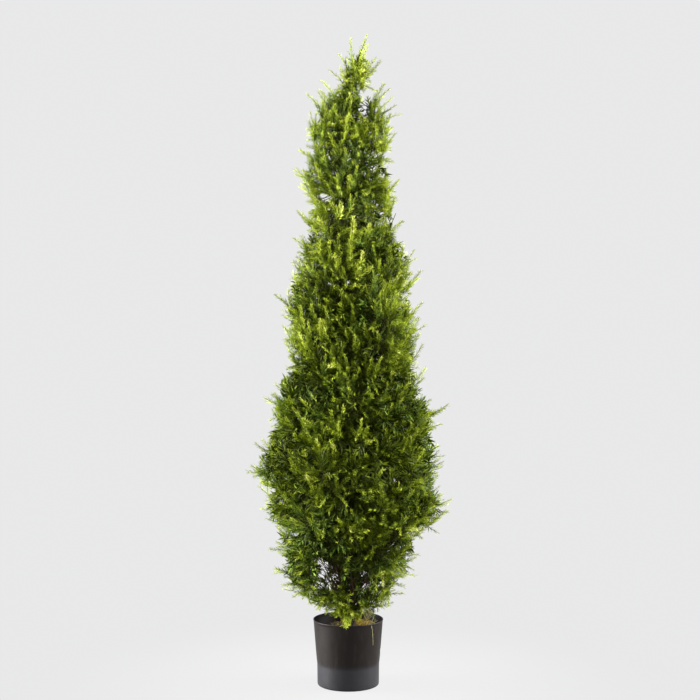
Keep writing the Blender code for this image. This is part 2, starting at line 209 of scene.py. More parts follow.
# Sprays that stand out of the outline: sideways place and height in millimetres, and rise in degrees from +X
TIPS = (
    (48, 1804, 74), (46, 1786, 80), (36, 1770, 82), (68, 1748, 58), (40, 1750, 76), (-10, 1756, 106),
    (-22, 1736, 112), (54, 1728, 64), (26, 1732, 84), (-6, 1783, 108), (24, 1763, 85), (89, 1741, 52),
    (-37, 1718, 118), (-20, 1700, 112), (77, 1655, 66), (88, 1664, 68), (103, 1672, 63), (94, 1640, 60),
    (118, 1640, 52), (137, 1606, 38), (124, 1612, 45), (-54, 1681, 108), (-66, 1668, 112), (-84, 1654, 118),
    (-104, 1650, 121), (-100, 1622, 124), (-118, 1585, 125), (-129, 1502, 129), (-143, 1446, 127),
    (-137, 1315, 127), (-137, 1248, 125), (-154, 1176, 121), (-190, 1089, 129), (-188, 978, 137),
    (-232, 805, 145), (-263, 663, 151), (-277, 599, 168), (-243, 490, 167), (-213, 387, 169),
    (-207, 312, 180), (-182, 273, -168), (133, 1530, 51), (136, 1404, 55), (147, 1287, 53), (186, 1204, 53),
    (200, 1148, 51), (205, 1062, 49), (208, 1009, 47), (219, 931, 41), (278, 772, 27), (258, 722, 22),
    (264, 638, 16), (267, 607, 13), (288, 504, 3), (278, 479, 4), (197, 359, 4), (186, 309, -8),
    (155, 276, -12),
)

# Sprays at the foot: the tip of each in millimetres and the way it points
FOOT_SPRAYS = (
    ((2, -103, 178), (0.05, -0.72, -0.69)), ((-4, -98, 184), (-0.1, -0.72, -0.68)),
    ((6, -94, 192), (0.14, -0.72, -0.62)), ((-14, -90, 196), (-0.2, -0.7, -0.62)),
    ((-2, -84, 204), (-0.02, -0.75, -0.55)), ((11, -60, 200), (0.25, -0.6, -0.6)),
    ((-21, -58, 214), (-0.4, -0.7, -0.4)), ((-30, -60, 262), (-0.3, -0.7, 0.55)),
    ((-12, -66, 290), (-0.1, -0.7, 0.65)), ((70, -62, 232), (0.6, -0.6, -0.15)),
    ((95, -40, 226), (0.85, -0.4, -0.1)), ((112, 20, 236), (0.9, 0.2, -0.05)),
    ((-98, -30, 236), (-0.95, -0.25, -0.05)), ((-75, -55, 244), (-0.75, -0.6, 0.05)),
    ((20, 85, 222), (0.2, 0.9, -0.1)), ((-60, 75, 228), (-0.6, 0.75, -0.05)),
)

# Dry strands in the pot's mouth, each through four places, and dry plumes as foot and tip, in millimetres
DRY_STRANDS = metres((
    ((50, -45, 160), (60, -66, 196), (68, -84, 186), (67.5, -80, 126)),
    ((30, 10, 158), (45, -10, 185), (60, -20, 215), (66, -26, 240)),
    ((38, 0, 158), (46, -12, 180), (50, -20, 205), (70, -24, 222)),
    ((22, -20, 158), (40, -40, 186), (56, -46, 190), (75, -44, 176)),
    ((45, 30, 158), (52, 20, 176), (64, 12, 186), (78, 10, 190)),
))
DRY_PLUMES = metres((
    ((44, -22, 172), (58, -40, 208)), ((50, -20, 180), (72, -30, 216)),
    ((52, -10, 190), (66, -26, 232)), ((48, -30, 168), (74, -44, 186)),
))
DRY_STEPS = 10
DRY_RADIUS = 0.0006
DRY_TAPER = 0.00003  # for each step

# Places where the crown is open from front to back, in millimetres: sideways place, height, half-width and
# half-height. The clearings are open only in front of the trunk.
WINDOWS = metres((
    (43, 1616, 4, 34), (-68, 1356, 4, 8), (-76, 1103, 1, 3), (-31, 1039, 1, 2), (0, 666, 2, 8),
    (132, 568, 2, 10), (38, 644, 1, 2), (61, 457, 1, 3), (-174, 504, 1, 3), (-78, 332, 5, 10),
    (-66, 313, 8, 9), (-54, 330, 4, 6), (-46, 296, 4, 8), (-30, 270, 3, 7), (-92, 350, 2, 4),
    (42, 272, 5, 10), (46, 312, 2, 6),
))
CLEARINGS = metres((
    (12, 262, 8, 50), (-50, 305, 34, 34), (42, 290, 6, 22),
))
WINDOW_MARGIN = 0.005
WINDOW_SHARES = (0.15, 0.4, 0.65, 0.9)  # places along a plume that are tested

# Pot and what is in it
# Its profile as radius and height in millimetres: foot, outside, inside and the middle of its floor
POT_BASE = metres(((0, 1.6), (66, 1.6), (67.5, 1.2), (68.5, 0)))
POT_PROFILE_OUT = metres((
    (79, 0), (82.2, 0.3), (84.3, 1.4), (85.3, 3.2), (85.6, 6), (85.8, 24), (86.2, 59), (86.4, 62),
    (86.8, 64.5), (87.3, 68), (89.5, 92), (93, 137), (96.2, 178), (96.8, 179.2), (97.2, 180.6),
    (96.9, 181.6), (96.2, 182),
))
POT_PROFILE_IN = metres((
    (95, 181.9), (94.1, 181.2), (93.8, 180), (93.8, 178), (90.8, 137), (87.3, 92), (85, 64), (83.8, 24),
    (82, 6), (78, 2.4),
))
POT_INSIDE = metres(((0, 2.4),))
PROFILE_STEP = 0.006
POT_SIDES = 144
POT_HEIGHT = 0.182
POT_WARP = ((0.003, 2, 0.6), (0.0016, 3, 2.0))  # share, lobes and turn of what makes it a little uneven
DENT = (0.0, 0.095, 0.0012, 0.012, 0.005)  # angle, height, depth, half-width and half-height
DENT_RADIUS = 0.07  # only what lies further out than this is dented
FILL_TOP = 0.16
FILL_FALL = 0.004
FILL_SINK = 0.0015
FILL_LUMPS = ((0.0022, 55), (0.0014, 130), (0.0009, 300))  # height and fineness
FILL_RADIUS = 0.0918
FILL_LOWER = ((0.0838, 0.066), (0.078, 0.004), (0.0, 0.004))
FILL_SIDES = 90
FILL_RINGS = 26
MOSS_STRANDS = 1100
MOSS_PATCH = ((0.044, 0.012), (0.03, 0.022))  # place and spread in x and in y, for five strands out of six
MOSS_LENGTHS = (0.006, 0.014)
MOSS_RADII = (0.0006, 0.0008, 0.0006, 0.0002)
MOSS_REACH = 0.084

# Bark
TRUNK_BARK = (18, 0.006, 0.0)  # sides, distance of the rings, and swelling at the foot
BOUGH_BARK = (8, 0.005, 0.45)
BOUGH_SUNK = 0.003  # how far a bough reaches into the trunk
RIDGES = (420, 420, 60)  # fineness across and along
RIDGE_RELIEF = 0.1  # as a share of the radius
FLAKES = 150
FLAKE_RELIEF = 0.07


Plume = namedtuple("Plume", "root way fan length tone inner")


def clamp(value, low, high):
    return max(low, min(high, value))


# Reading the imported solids


def node_mesh(name):
    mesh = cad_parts[name].data
    points = np.array([vertex.co for vertex in mesh.vertices])
    faces = [tuple(face.vertices) for face in mesh.polygons]
    return points, faces


def ring_centres(name, count):
    """Centres and radii of a limb's rings, from its foot to its end."""
    points = np.unique(np.round(node_mesh(name)[0], 5), axis=0)
    middle = points.mean(axis=0)
    axis = np.linalg.svd(points - middle)[2][0]
    order = np.argsort((points - middle) @ axis)
    rings = np.array_split(points[order], count)
    centres = [Vector(ring.mean(axis=0)) for ring in rings]
    radii = [float(np.linalg.norm(ring - ring.mean(axis=0), axis=1).mean()) for ring in rings]
    if name == "trunk":
        backward = centres[0].z > centres[-1].z
    else:
        backward = centres[0].xy.length > centres[-1].xy.length
    if backward:
        centres.reverse()
        radii.reverse()
    return centres, radii


# Mesh building


def add_piece(name, points, faces, finish, nodes, smooth=True):
    mesh = bpy.data.meshes.new(name)
    faces = faces.tolist() if isinstance(faces, np.ndarray) else faces
    mesh.from_pydata(np.asarray(points, dtype=np.float32).tolist(), [], faces)
    mesh.polygons.foreach_set("use_smooth", np.full(len(faces), smooth))
    mesh.materials.append(finish)
    obj = bpy.data.objects.new(name, mesh)
    bpy.context.scene.collection.objects.link(obj)
    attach(obj, "root")
    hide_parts(*nodes)


def ring_faces(rings, sides):
    """Quads between rings of points, and triangles that close both ends with the two points after them."""
    low, last = rings * sides, (rings - 1) * sides
    quads = []
    caps = []
    for k in range(sides):
        after = (k + 1) % sides
        caps += [(low, after, k), (low + 1, last + k, last + after)]
    for i in range(rings - 1):
        for k in range(sides):
            a, b = i * sides + k, i * sides + (k + 1) % sides
            quads.append((a, b, b + sides, a + sides))
    return quads, caps


def tube(path, radii, sides):
    """Points and triangles of a closed tube with pointed ends."""
    count = len(path)
    points = []
    side = None
    for i, centre in enumerate(path):
        ahead = path[min(i + 1, count - 1)] - path[max(i - 1, 0)]
        ahead = ahead.normalized() if ahead.length > 0 else UP
        if side is None:
            side = ahead.orthogonal().normalized()
        side = (side - ahead * side.dot(ahead)).normalized()
        other = ahead.cross(side)
        for k in range(sides):
            turn = 2 * math.pi * k / sides
            points.append(centre + radii[i] * (side * math.cos(turn) + other * math.sin(turn)))
    quads, caps = ring_faces(count, sides)
    triangles = [half for a, b, c, d in quads for half in ((a, b, c), (a, c, d))]
    return np.array([*points, path[0], path[-1]]), np.array(triangles + caps)


def joined(parts):
    """One array of points and one of triangles from many."""
    shift = 0
    points = []
    faces = []
    for part_points, part_faces in parts:
        points.append(part_points)
        faces.append(part_faces + shift)
        shift += len(part_points)
    return np.concatenate(points), np.concatenate(faces)


def bezier(a, b, c, d, t):
    s = 1 - t
    return a * s**3 + b * (3 * s * s * t) + c * (3 * s * t * t) + d * t**3


def curve(a, b, c, t):
    """A place on the way from a to c, which bends towards b."""
    return a * (1 - t) ** 2 + b * (2 * t * (1 - t)) + c * t**2


# Leaves and plumes


def leaf(root, direction, normal, length, width):
    """A pointed leaf folded along its middle: its root, its two corners and its tip."""
    side = direction.cross(normal).normalized() * (0.5 * width)
    middle = root + direction * (LEAF_SHOULDER * length) - normal * (LEAF_FOLD * width)
    return [root, middle + side, middle - side, root + direction * length]


def leaf_faces(count):
    """The triangles of so many leaves."""
    return (LEAF_FACES[None] + 4 * np.arange(count)[:, None, None]).reshape(-1, 3)


def plume_template(length, dice, spacing, leaf_length, width, stem_rings):
    """A plume along +Z with its fan in the XZ plane: leaves as (k, 4, 3), their places, and its stem."""
    across, out = PLUME_LEAN
    lean = Vector((dice.uniform(-across, across), dice.uniform(-out, out), 0)) * length

    def stem(share):
        return Vector((lean.x * share**2, lean.y * share**2, length * share))

    widest_opening, less_opening, opening_spread = LEAF_OPENING
    leaves = []
    places = []
    share = PLUME_BARE
    number = 0
    while share < 0.98:
        ahead = (stem(share + 0.01) - stem(share)).normalized()
        turn = LEAF_RANKS[number % len(LEAF_RANKS)]
        rank = math.radians(turn + dice.uniform(-LEAF_RANK_SPREAD, LEAF_RANK_SPREAD))
        outward = Vector((math.cos(rank), math.sin(rank), 0))
        opening = widest_opening - less_opening * share + dice.uniform(-opening_spread, opening_spread)
        opening = math.radians(opening)
        direction = (ahead * math.cos(opening) + outward * math.sin(opening)).normalized()
        roll = math.radians(dice.uniform(-LEAF_ROLL, LEAF_ROLL))
        face = Vector((math.sin(roll), math.cos(roll), 0)) - outward * 0.3
        face = (face - direction * face.dot(direction)).normalized()
        size = leaf_length * (1.08 - 0.36 * share) * min(1.0, 0.6 + (share - PLUME_BARE) * 3)
        size *= dice.uniform(0.65, 1.25)
        breadth = width * (1.1 - 0.5 * share) * dice.uniform(0.8, 1.2)
        leaves.append(leaf(stem(share), direction, face, size, breadth))
        places.append(share)
        share += spacing / length * dice.uniform(0.85, 1.15)
        number += 1
    ahead = (stem(1.0) - stem(0.95)).normalized()
    leaves.append(leaf(stem(0.96), ahead, ahead.orthogonal().normalized(), leaf_length * 0.6, width))
    places.append(1.0)
    path = [stem(i / (stem_rings - 1)) for i in range(stem_rings)]
    radii = [STEM_RADIUS * (1 - 0.6 * i / (stem_rings - 1)) for i in range(stem_rings)]
    shape = np.array([[tuple(corner) for corner in one] for one in leaves])
    return shape, np.array(places), tube(path, radii, STEM_SIDES)


def all_templates():
    """The plumes that all others are copies of, by size and whether they are inner ones."""
    dice = random.Random(SEED)
    found = {}
    for size in PLUME_SIZES:
        for inner, make in ((False, OUTER_PLUME), (True, INNER_PLUME)):
            found[size, inner] = [plume_template(size, dice, *make) for _ in range(PLUME_KINDS)]
    return found


def nearest_size(length):
    return min(PLUME_SIZES, key=lambda size: abs(size - length))


def plume_matrix(way, fan):
    """Rotation that turns +Z to the plume's way and +Y to its fan's normal."""
    forward = way.normalized()
    across = fan.cross(forward)
    if across.length < 1e-4:
        across = forward.orthogonal()
    across.normalize()
    return np.array(Matrix((across, forward.cross(across), forward)).transposed())


# The crown's shape


def rippled(half, azimuth, height):
    """The crown's half-width in a direction: the outline's at its sides, uneven towards front and back."""
    ripple = np.sin(DEPTH_LOBES * azimuth + DEPTH_TWIST * height)
    return half * (1 + DEPTH_RIPPLE * np.sin(azimuth) ** 2 * ripple)


def outline_reach(height):
    """Centre line and half-width of the crown at a height, or at many."""
    heights, lefts, rights = np.array(OUTLINE).T
    left = np.interp(height, heights, lefts)
    right = np.interp(height, heights, rights)
    return (left + right) / 2, (right - left) / 2


def crown_depth(places):
    """How far inside the crown's outline each place lies, for an array of places."""
    x, y, z = np.asarray(places).T
    centre, half = outline_reach(z)
    half = rippled(half, np.arctan2(y, x - centre), z)
    return np.minimum(half - np.hypot(x - centre, y), np.minimum(z - OUTLINE[0][0], OUTLINE[-1][0] - z))


def cell_of(place, size):
    return tuple(int(math.floor(value / size)) for value in place)


class SpacedPlaces:
    """Places kept apart by a spacing, found through a grid of cells."""

    def __init__(self, spacing):
        self.spacing = spacing
        self.cells = {}

    def near(self, place, spacing):
        around = [(at - 1, at, at + 1) for at in cell_of(place, self.spacing)]
        cells = [self.cells.get(cell, ()) for cell in product(*around)]
        return any((other - place).length < spacing for cell in cells for other in cell)

    def add(self, place):
        self.cells.setdefault(cell_of(place, self.spacing), []).append(place)


def outline_targets(dice):
    """Evenly spaced places on the crown's outline with the outward normal of each."""
    kept = SpacedPlaces(TARGET_SPACING)
    found = []
    low, high = OUTLINE[0][0], OUTLINE[-1][0]
    widest = max(outline_reach(row[0])[1] for row in OUTLINE)
    tries = int((high - low) * 2 * math.pi * widest / TARGET_SPACING**2 * TARGET_TRIES)
    for _ in range(tries):
        height = dice.uniform(low, high)
        centre, half = outline_reach(height)
        if dice.random() > half / widest + 0.15:
            continue
        azimuth = dice.uniform(-math.pi, math.pi)
        half = rippled(half, azimuth, height)
        place = Vector((centre + half * math.cos(azimuth), half * math.sin(azimuth), height))
        if kept.near(place, TARGET_SPACING * (0.80 + 0.20 * min(1.0, half / 0.16))):
            continue
        kept.add(place)
        _, above = outline_reach(min(height + SLOPE_STEP, high))
        _, below = outline_reach(max(height - SLOPE_STEP, low))
        slope = (below - above) / (2 * SLOPE_STEP)
        found.append((place, Vector((math.cos(azimuth), math.sin(azimuth), slope)).normalized()))
    return found


# Growth


def rise_at(height):
    """Elevation in degrees at which sprays grow at a height: nearly level low down, steep at the top."""
    heights, angles = zip(*RISE)
    return float(np.interp(height, heights, angles))


def outward_at(point):
    flat = Vector((point.x - CROWN_AXIS, point.y, 0))
    return flat.normalized() if flat.length > 1e-4 else Vector((1, 0, 0))


def growth_at(point, dice):
    """The way in which things grow at a place: outwards and up, a little different each time."""
    rise = math.radians(rise_at(point.z) + dice.uniform(*RISE_SPREAD))
    outward = outward_at(point)
    turn = math.radians(dice.uniform(-AZIMUTH_SPREAD, AZIMUTH_SPREAD))
    outward.rotate(Matrix.Rotation(turn, 3, "Z"))
    return outward * math.cos(rise) + UP * math.sin(rise)


def jitter(dice, amount):
    return Vector([dice.gauss(0, amount) for _ in range(3)])


def fan_normal(ahead, place, dice):
    """Normal of a flat spray: it mostly shows its face outwards and upwards."""
    outward, up, amount = FAN_WEIGHTS
    normal = outward_at(place) * outward + UP * up + jitter(dice, amount)
    normal -= ahead * normal.dot(ahead)
    return normal.normalized()


class Limb:
    """The limb inside a mass, which goes on from its bough to the mass's tip."""

    def __init__(self, name):
        points, faces = node_mesh(f"mass_{name}")
        self.tree = BVHTree.FromPolygons([Vector(point) for point in points], faces)
        if name == "leader":
            centres, _ = ring_centres("trunk", TRUNK_RINGS)
        else:
            centres, _ = ring_centres(f"bough_{name}", BOUGH_RINGS)
        self.start = centres[-1]
        heading = (centres[-1] - centres[-2]).normalized()
        tip = Vector(points[int(np.argmax(np.linalg.norm(points - np.array(self.start), axis=1)))])
        self.reach = (tip - self.start).length
        self.bend = self.start + heading * (self.reach * 0.5)
        self.end = self.start.lerp(tip, 0.85)
        self.path = [self.at(i / LIMB_STEPS) for i in range(LIMB_STEPS + 1)]

    def at(self, share):
        return curve(self.start, self.bend, self.end, share)

    def ahead(self, share):
        return ((self.bend - self.start) * (1 - share) + (self.end - self.bend) * share).normalized()

    def nearest(self, place):
        """The share of the limb that is nearest to a place, and the way from there to the place."""
        number = min(range(len(self.path)), key=lambda i: (self.path[i] - place).length)
        return number / LIMB_STEPS, place - self.path[number]


class Crown:
    """What grows: twigs and stalks as tubes, the places along the twigs, and plumes."""

    def __init__(self):
        self.twigs = []
        self.stalks = []
        self.nodes = []
        self.plumes = []

    def add_twig(self, path, first, last, sides=4):
        count = len(path)
        radii = [first + (last - first) * i / (count - 1) for i in range(count)]
        self.twigs.append(tube(path, radii, sides))
        self.nodes += path

    def add_plume(self, root, way, fan, length, tone, dice):
        if not in_window(root, way, length):
            self.plumes.append(Plume(root, way, fan, length, tone + dice.gauss(0, PLUME_GRAIN), False))


def in_window(root, way, length):
    """Whether a plume would cross one of the crown's open places, looked at from the camera's place."""
    eye = Vector(CAMERA_PLACE)
    in_front = root.y + way.y * length * 0.5 < 0
    open_places = WINDOWS + (CLEARINGS if in_front else ())
    for share in WINDOW_SHARES:
        sight = root + way * (length * share) - eye
        seen = eye + sight * (-eye.y / sight.y)
        for across, height, half_width, half_height in open_places:
            sideways = (seen.x - across) / (half_width + WINDOW_MARGIN)
            upwards = (seen.z - height) / (half_height + WINDOW_MARGIN)
            if sideways**2 + upwards**2 < 1:
                return True
    return False


def grow_sprays(crown, limbs, dice):
    """A spray for each place on the crown's outline, and one for each tip that stands out of it."""
    for place, normal in outline_targets(dice):
        inset = OUTLINE_INSET + dice.triangular(0.0, DEEPEST_INSET, 0.002)
        grow = (growth_at(place, dice) + jitter(dice, 0.08)).normalized()
        if grow.dot(normal) < 0.2:
            grow = (grow + normal * (0.35 - grow.dot(normal))).normalized()
        tone = dice.gauss(0, SPRAY_GRAIN) + PATCH_TONE * noise.noise(place * PATCH_SCALE)
        grow_spray(crown, limbs, place - normal * inset, grow, dice.uniform(*OUTLINE_LENGTHS), tone, dice)
    for across, height, rise in TIPS:
        across, height = metres((across, height))
        tip = Vector((across, dice.uniform(-0.035, 0.035), height))
        rise = math.radians(rise)
        grow = Vector((math.cos(rise), dice.uniform(-0.2, 0.2), math.sin(rise))).normalized()
        grow_spray(crown, limbs, tip, grow, dice.uniform(*TIP_LENGTHS), TIP_SPRAY_TONE, dice)
        if height < TUFTS_BELOW:
            near = tip - grow * dice.uniform(*TUFT_INSET) + jitter(dice, TUFT_SPREAD)
            aside = (grow + jitter(dice, 0.16)).normalized()
            length, tone = dice.uniform(*TUFT_LENGTHS), dice.gauss(0, TUFT_GRAIN)
            grow_spray(crown, limbs, near, aside, length, tone, dice)
    for tip, way in FOOT_SPRAYS:
        way = Vector(way).normalized()
        tip = Vector(metres(tip))
        grow_spray(crown, limbs, tip, way, dice.uniform(*FOOT_LENGTHS), FOOT_SPRAY_TONE, dice)


def grow_spray(crown, limbs, tip, grow, length, tone, dice):
    """A twig from the limb that lies best for it, with a last plume that ends at the tip."""
    limb = min(limbs, key=lambda one: one.nearest(tip)[1].length + 0.3 * one.tree.find_nearest(tip)[3])
    nearest, away = limb.nearest(tip)
    share = clamp(nearest - away.length * dice.uniform(0.6, 1.0) / limb.reach, 0.02, 0.96)
    foot = limb.at(share)
    root = tip - grow * length
    span = (root - foot).length
    leaving = foot + (limb.ahead(share) * 0.3 + away.normalized() * 0.1) * span
    arriving = root - grow * (0.4 * span)
    twig = [bezier(foot, leaving, arriving, root, i / TWIG_STEPS) for i in range(TWIG_STEPS + 1)]
    crown.add_twig(twig, TWIG_RADIUS, STEM_RADIUS)
    fan = fan_normal(grow, tip, dice)
    crown.add_plume(root, grow, fan, length, tone, dice)
    add_side_plumes(crown, twig, fan, length, tone, dice)


def outline_room(place, way, most):
    """How far a plume may run before it leaves the crown's outline."""
    runs = np.arange(0.008, most, 0.006)
    depths = crown_depth(np.array(place) + runs[:, None] * np.array(way))
    outside = np.nonzero(depths < 0)[0]
    return float(runs[outside[0]]) if len(outside) else most


def add_side_plumes(crown, twig, fan, last_length, tone, dice):
    """Plumes along the end of a twig, left and right in turn, and two of six out of the fan's plane."""
    lengths = [0.0]
    for a, b in zip(twig, twig[1:]):
        lengths.append(lengths[-1] + (b - a).length)
    total = lengths[-1]
    at = total - PLUME_SPACING * 0.3
    number = dice.randrange(len(SIDE_RANKS))
    while at > max(0.15 * total, total - SPRAY_LENGTH):
        part = clamp(int(np.searchsorted(lengths, at)) - 1, 0, len(twig) - 2)
        step = twig[part + 1] - twig[part]
        place = twig[part] + step * ((at - lengths[part]) / max(step.length, 1e-6))
        ahead = step.normalized()
        across, out = SIDE_RANKS[number % len(SIDE_RANKS)]
        side = ahead.cross(fan).normalized() * across + fan * out
        opening = math.radians(dice.uniform(*SIDE_OPENING))
        way = ahead * math.cos(opening) + side.normalized() * math.sin(opening)
        way = (way + growth_at(place, dice) * SIDE_GROWTH + jitter(dice, 0.07)).normalized()
        wanted = clamp(0.8 * last_length + 0.35 * (total - at), *SIDE_LENGTHS) * dice.uniform(0.8, 1.15)
        room = outline_room(place, way, wanted) - dice.uniform(*SIDE_INSET)
        if crown_depth([place])[0] < TIP_DEPTH:
            room = wanted * TIP_SHORTER
        length = min(room, wanted)
        if length > SIDE_LEAST:
            normal = (fan - way * fan.dot(way) + jitter(dice, 0.35)).normalized()
            crown.add_plume(place, way, normal, length, tone, dice)
        number += 1
        at -= PLUME_SPACING * dice.uniform(0.8, 1.2)


def fill_crown(crown, dice):
    """Coarse inner plumes that grow on from the nearest twig into whatever space is still empty."""
    low, high = CROWN_BOX
    twigs = KDTree(len(crown.nodes))
    for number, place in enumerate(crown.nodes):
        twigs.insert(place, number)
    twigs.balance()
    filled = set()

    def fill_along(root, way, length):
        for share in FILLED_SHARES:
            filled.add(cell_of(root + way * (length * share), CELL))

    for plume in crown.plumes:
        fill_along(plume.root, plume.way, plume.length)
    tries = int(math.prod(high[k] - low[k] for k in range(3)) / CELL**3 * CELL_TRIES)
    for _ in range(tries):
        place = Vector([dice.uniform(low[k], high[k]) for k in range(3)])
        if cell_of(place, CELL) in filled or crown_depth([place])[0] < INNER_DEPTH:
            continue
        root, _, away = twigs.find(place)
        if not INNER_AWAY[0] < away < INNER_AWAY[1]:
            continue
        way = (place - root).normalized()
        way = (way + growth_at(place, dice) * INNER_GROWTH).normalized()
        room = outline_room(root, way, 0.125) - INNER_MARGIN
        length = min(clamp(away * 1.05, *INNER_LENGTHS), room)
        if length < INNER_LEAST:
            continue
        fill_along(root, way, length)
        filled.add(cell_of(place, CELL))
        if not in_window(root, way, length):
            fan = fan_normal(way, place, dice)
            # inner plumes take the darkest greens: painted shade
            crown.plumes.append(Plume(root, way, fan, length, dice.gauss(*INNER_SHADED_TONE), True))


def grow_stalks(crown, dice):
    """Bare brown stalks that spread from the lowest part of the trunk."""
    centres = np.array(ring_centres("trunk", TRUNK_RINGS)[0])
    for _ in range(FOOT_STALKS):
        height = dice.uniform(*STALK_FEET)
        foot = Vector([float(np.interp(height, centres[:, 2], centres[:, k])) for k in range(3)])
        azimuth = dice.choice((math.pi, math.pi, 0.0, dice.uniform(0, 2 * math.pi))) + dice.gauss(0, 0.6)
        rise = math.radians(dice.uniform(*STALK_RISE))
        level = math.cos(rise)
        way = Vector((math.cos(azimuth) * level, math.sin(azimuth) * level, math.sin(rise)))
        end = foot + way * dice.uniform(*STALK_LENGTHS)
        bend = foot.lerp(end, 0.5) + Vector((dice.gauss(0, 0.006), dice.gauss(0, 0.006), -0.014))
        steps = range(STALK_STEPS + 1)
        path = [bezier(foot, foot.lerp(bend, 0.7), bend, end, i / STALK_STEPS) for i in steps]
        crown.stalks.append(tube(path, [STALK_RADIUS - STALK_TAPER * i for i in steps], 5))
        side = foot.lerp(end, 0.45)
        fork = (way + jitter(dice, 0.45)).normalized() * dice.uniform(*FORK_LENGTHS)
        crown.stalks.append(tube([side - fork * 0.05, side + fork * 0.5, side + fork], FORK_RADII, 4))


# Foliage pieces


def place_plumes(crown, templates, dice):
    """Leaves as (n, 4, 3), tones (darker inside: painted shade), whether each is of the cooler kind, and
    stems as tubes.
    """
    placed = []
    for plume in crown.plumes:
        size = nearest_size(plume.length)
        shape, places, stem = dice.choice(templates[size, plume.inner])
        turn = plume_matrix(plume.way, plume.fan) * (plume.length / size)
        root = np.array(plume.root)
        leaves = shape @ turn.T + root
        # painted shade: leaves further inside the crown take darker greens
        depth = np.clip(crown_depth(leaves[:, 3]), 0, DEEPEST)
        painted_shade = PAINTED_DEPTH_SHADE * (depth / DEEPEST) ** DEPTH_POWER
        paler = PLACE_TONE * places * (INNER_SHARE if plume.inner else 1.0)
        tones = plume.tone + TIP_TONE - painted_shade + paler
        patch = noise.noise(plume.root * COOL_SCALE + COOL_SHIFT)
        cool = np.full(len(places), patch + dice.gauss(0, COOL_GRAIN) > COOL_ABOVE)
        placed.append((leaves, tones, cool, (stem[0] @ turn.T + root, stem[1])))
    *arrays, stems = zip(*placed)
    return *(np.concatenate(array) for array in arrays), stems


def shade_numbers(tones, cool):
    """Which of the greens each leaf takes."""
    grain = np.random.default_rng(SEED + 3).normal(0, SHADE_GRAIN, len(tones))
    numbers = np.clip(np.rint(tones + grain), 0, WARM_SHADES - 1).astype(int)
    cooled = cool & (numbers >= FIRST_COOL) & (numbers < FIRST_COOL + len(SHADES) - WARM_SHADES)
    numbers[cooled] += WARM_SHADES - FIRST_COOL
    return numbers


def build_foliage(crown, greens, twig_finish):
    dice = random.Random(SEED + 2)
    masses = [f"mass_{name}" for name in MASS_NAMES]
    templates = all_templates()
    leaves, tones, cool, stems = place_plumes(crown, templates, dice)
    build_dry(templates, plain("dry", DRY_COLOUR, 0.8, 0.1), dice)
    numbers = shade_numbers(tones, cool)
    for shade, (depth, _) in enumerate(SHADES):
        own = leaves[numbers == shade]
        pieces = max(1, math.ceil(len(LEAF_FACES) * len(own) / TRIANGLE_LIMIT))
        for part, chunk in enumerate(np.array_split(own, pieces)):
            if len(chunk):
                name = f"leaves_{shade + 1}_{part + 1}"
                points, faces = chunk.reshape(-1, 3), leaf_faces(len(chunk))
                add_piece(name, points, faces, greens[shade], masses, smooth=False)
    wood = (
        ("plume_stems", stems, twig_finish),
        ("twigs", crown.twigs, twig_finish),
        ("stalks", crown.stalks, plain("stalk", STALK_COLOUR, 0.7, 0.2)),
    )
    for name, parts, finish in wood:
        points, faces = joined(parts)
        add_piece(name, points, faces, finish, masses)


def build_dry(templates, finish, dice):
    """Straw-coloured strands and plumes in the pot's mouth."""
    parts = []
    steps = range(DRY_STEPS + 1)
    for strand in DRY_STRANDS:
        a, b, c, d = (Vector(corner) for corner in strand)
        path = [bezier(a, b, c, d, i / DRY_STEPS) for i in steps]
        parts.append(tube(path, [DRY_RADIUS - DRY_TAPER * i for i in steps], 4))
    for foot, tip in DRY_PLUMES:
        foot, way = Vector(foot), Vector(tip) - Vector(foot)
        size = nearest_size(way.length)
        shape, _, stem = dice.choice(templates[size, False])
        turn = plume_matrix(way, Vector((0, -1, 0.2))) * (way.length / size)
        shape = shape[::2]
        parts.append(((shape @ turn.T + np.array(foot)).reshape(-1, 3), leaf_faces(len(shape))))
        parts.append((stem[0] @ turn.T + np.array(foot), stem[1]))
    points, faces = joined(parts)
    add_piece("dry_sprays", points, faces, finish, ["mass_01"], smooth=False)


# Pot, potting fill and bark


def turned(profile, sides, place):
    """Points and faces of a closed turned shape; place(radius, height, angle) gives each point."""
    points = []
    for radius, height in profile[1:-1]:
        for k in range(sides):
            points.append(place(radius, height, 2 * math.pi * k / sides))
    points += [place(*profile[0], 0.0), place(*profile[-1], 0.0)]
    quads, caps = ring_faces(len(profile) - 2, sides)
    return points, quads + caps


def finer(profile, step):
    """The same profile with more points along its long straight parts."""
    found = [profile[0]]
    for (r0, z0), (r1, z1) in zip(profile, profile[1:]):
        parts = max(1, round(math.hypot(r1 - r0, z1 - z0) / step))
        found += [(r0 + (r1 - r0) * i / parts, z0 + (z1 - z0) * i / parts) for i in range(1, parts + 1)]
    return found


def build_pot(finish):
    """The pot, a little out of round towards its rim and with one small dent."""
    middle, level, depth, half_width, half_height = DENT

    def place(radius, height, angle):
        share = clamp(height / POT_HEIGHT, 0, 1)
        warp = 1
        for size, lobes, turn in POT_WARP:
            warp += size * share * math.cos(lobes * angle + turn)
        radius *= warp
        if radius > DENT_RADIUS:
            across = math.remainder(angle - middle, 2 * math.pi) * radius / half_width
            radius -= depth * math.exp(-(across**2) - ((height - level) / half_height) ** 2)
        return (radius * math.cos(angle), radius * math.sin(angle), height)

    profile = [*POT_BASE, *finer(POT_PROFILE_OUT + POT_PROFILE_IN, PROFILE_STEP), *POT_INSIDE]
    points, faces = turned(profile, POT_SIDES, place)
    add_piece("pot_shell", points, faces, finish, ["pot"])


